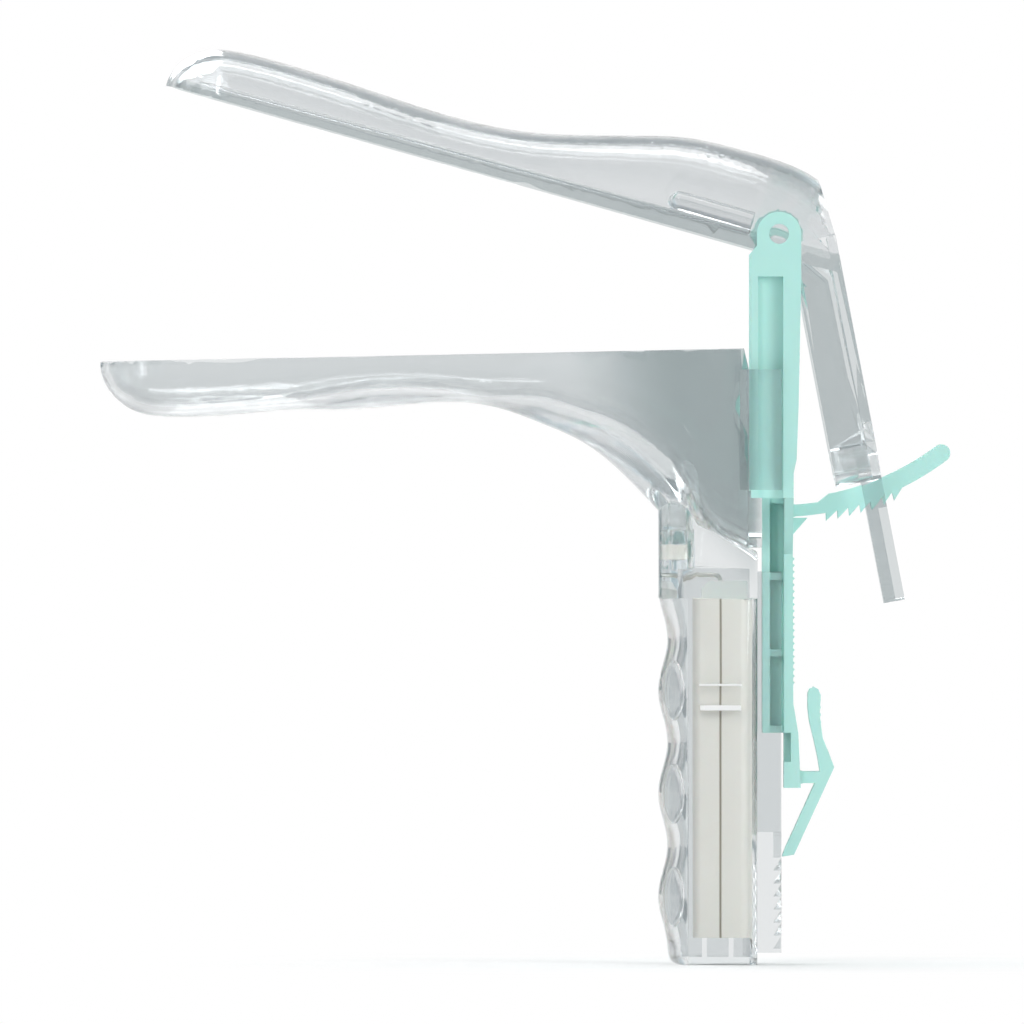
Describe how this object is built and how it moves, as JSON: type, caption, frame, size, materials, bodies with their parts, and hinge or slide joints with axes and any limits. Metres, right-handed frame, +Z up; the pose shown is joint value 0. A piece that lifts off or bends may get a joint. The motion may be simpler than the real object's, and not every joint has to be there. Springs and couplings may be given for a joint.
{
  "type": "bivalve speculum",
  "caption": "Clear two-bladed speculum held open, with a green sliding yoke, toothed arm, thumb lever, thumb latch and a lamp unit in its ridged pistol handle.",
  "frame": {"origin": "middle of the handle's flat foot", "axes": "+Z up the handle, the blades point towards -X, the thumb lever is on +X, Y across"},
  "size_m": [0.1699, 0.0482, 0.1829],
  "materials": {
    "clear_plastic": "clear polystyrene",
    "green_plastic": "semi-gloss mint green",
    "white_case": "satin warm white",
    "cell_can": "satin",
    "contact_metal": "bright",
    "board": "satin",
    "resistor": "matte",
    "cap_plastic": "translucent white",
    "lamp_plastic": "clear epoxy",
    "lens_plastic": "clear"
  },
  "bodies": {
    "handle": {"lower_valve": "clear_plastic", "grip_cover": "clear_plastic", "lens": "lens_plastic", "battery_case_front": "white_case", "battery_case_rear": "white_case", "battery_cell_left": "cell_can", "battery_cell_right": "cell_can", "contact_bridge": "contact_metal", "contact_leaf_left": "contact_metal", "contact_leaf_right": "contact_metal", "circuit_board": "board", "resistor": "resistor", "lead_cap": "cap_plastic", "lamp": "lamp_plastic", "lamp_holder": "white_case", "lamp_lead_left": "contact_metal", "lamp_lead_right": "contact_metal"},
    "yoke": {"yoke": "green_plastic"},
    "ratchet_arm": {"ratchet_arm": "green_plastic"},
    "latch": {"latch": "green_plastic"},
    "upper_blade": {"upper_valve": "clear_plastic"}
  },
  "joints": [
    {"name": "yoke_slide", "type": "slide", "parent": "handle", "child": "yoke", "axis": [0, 0, 1], "range_m": [-0.0182, 0]},
    {"name": "blade_tilt", "type": "hinge", "parent": "yoke", "child": "upper_blade", "pos_m": [0.0116, 0, 0.1458], "axis": [0, 1, 0], "range_deg": [-16, 10]},
    {"name": "arm_flex", "type": "hinge", "parent": "yoke", "child": "ratchet_arm", "pos_m": [0.01459, 0, 0.09068], "axis": [0, -1, 0], "range_deg": [0, 5], "stiffness_Nm_per_rad": 0.02},
    {"name": "latch_press", "type": "hinge", "parent": "yoke", "child": "latch", "pos_m": [0.016, 0, 0.0374], "axis": [0, -1, 0], "range_deg": [-3.2, 3], "stiffness_Nm_per_rad": 0.05}
  ]
}
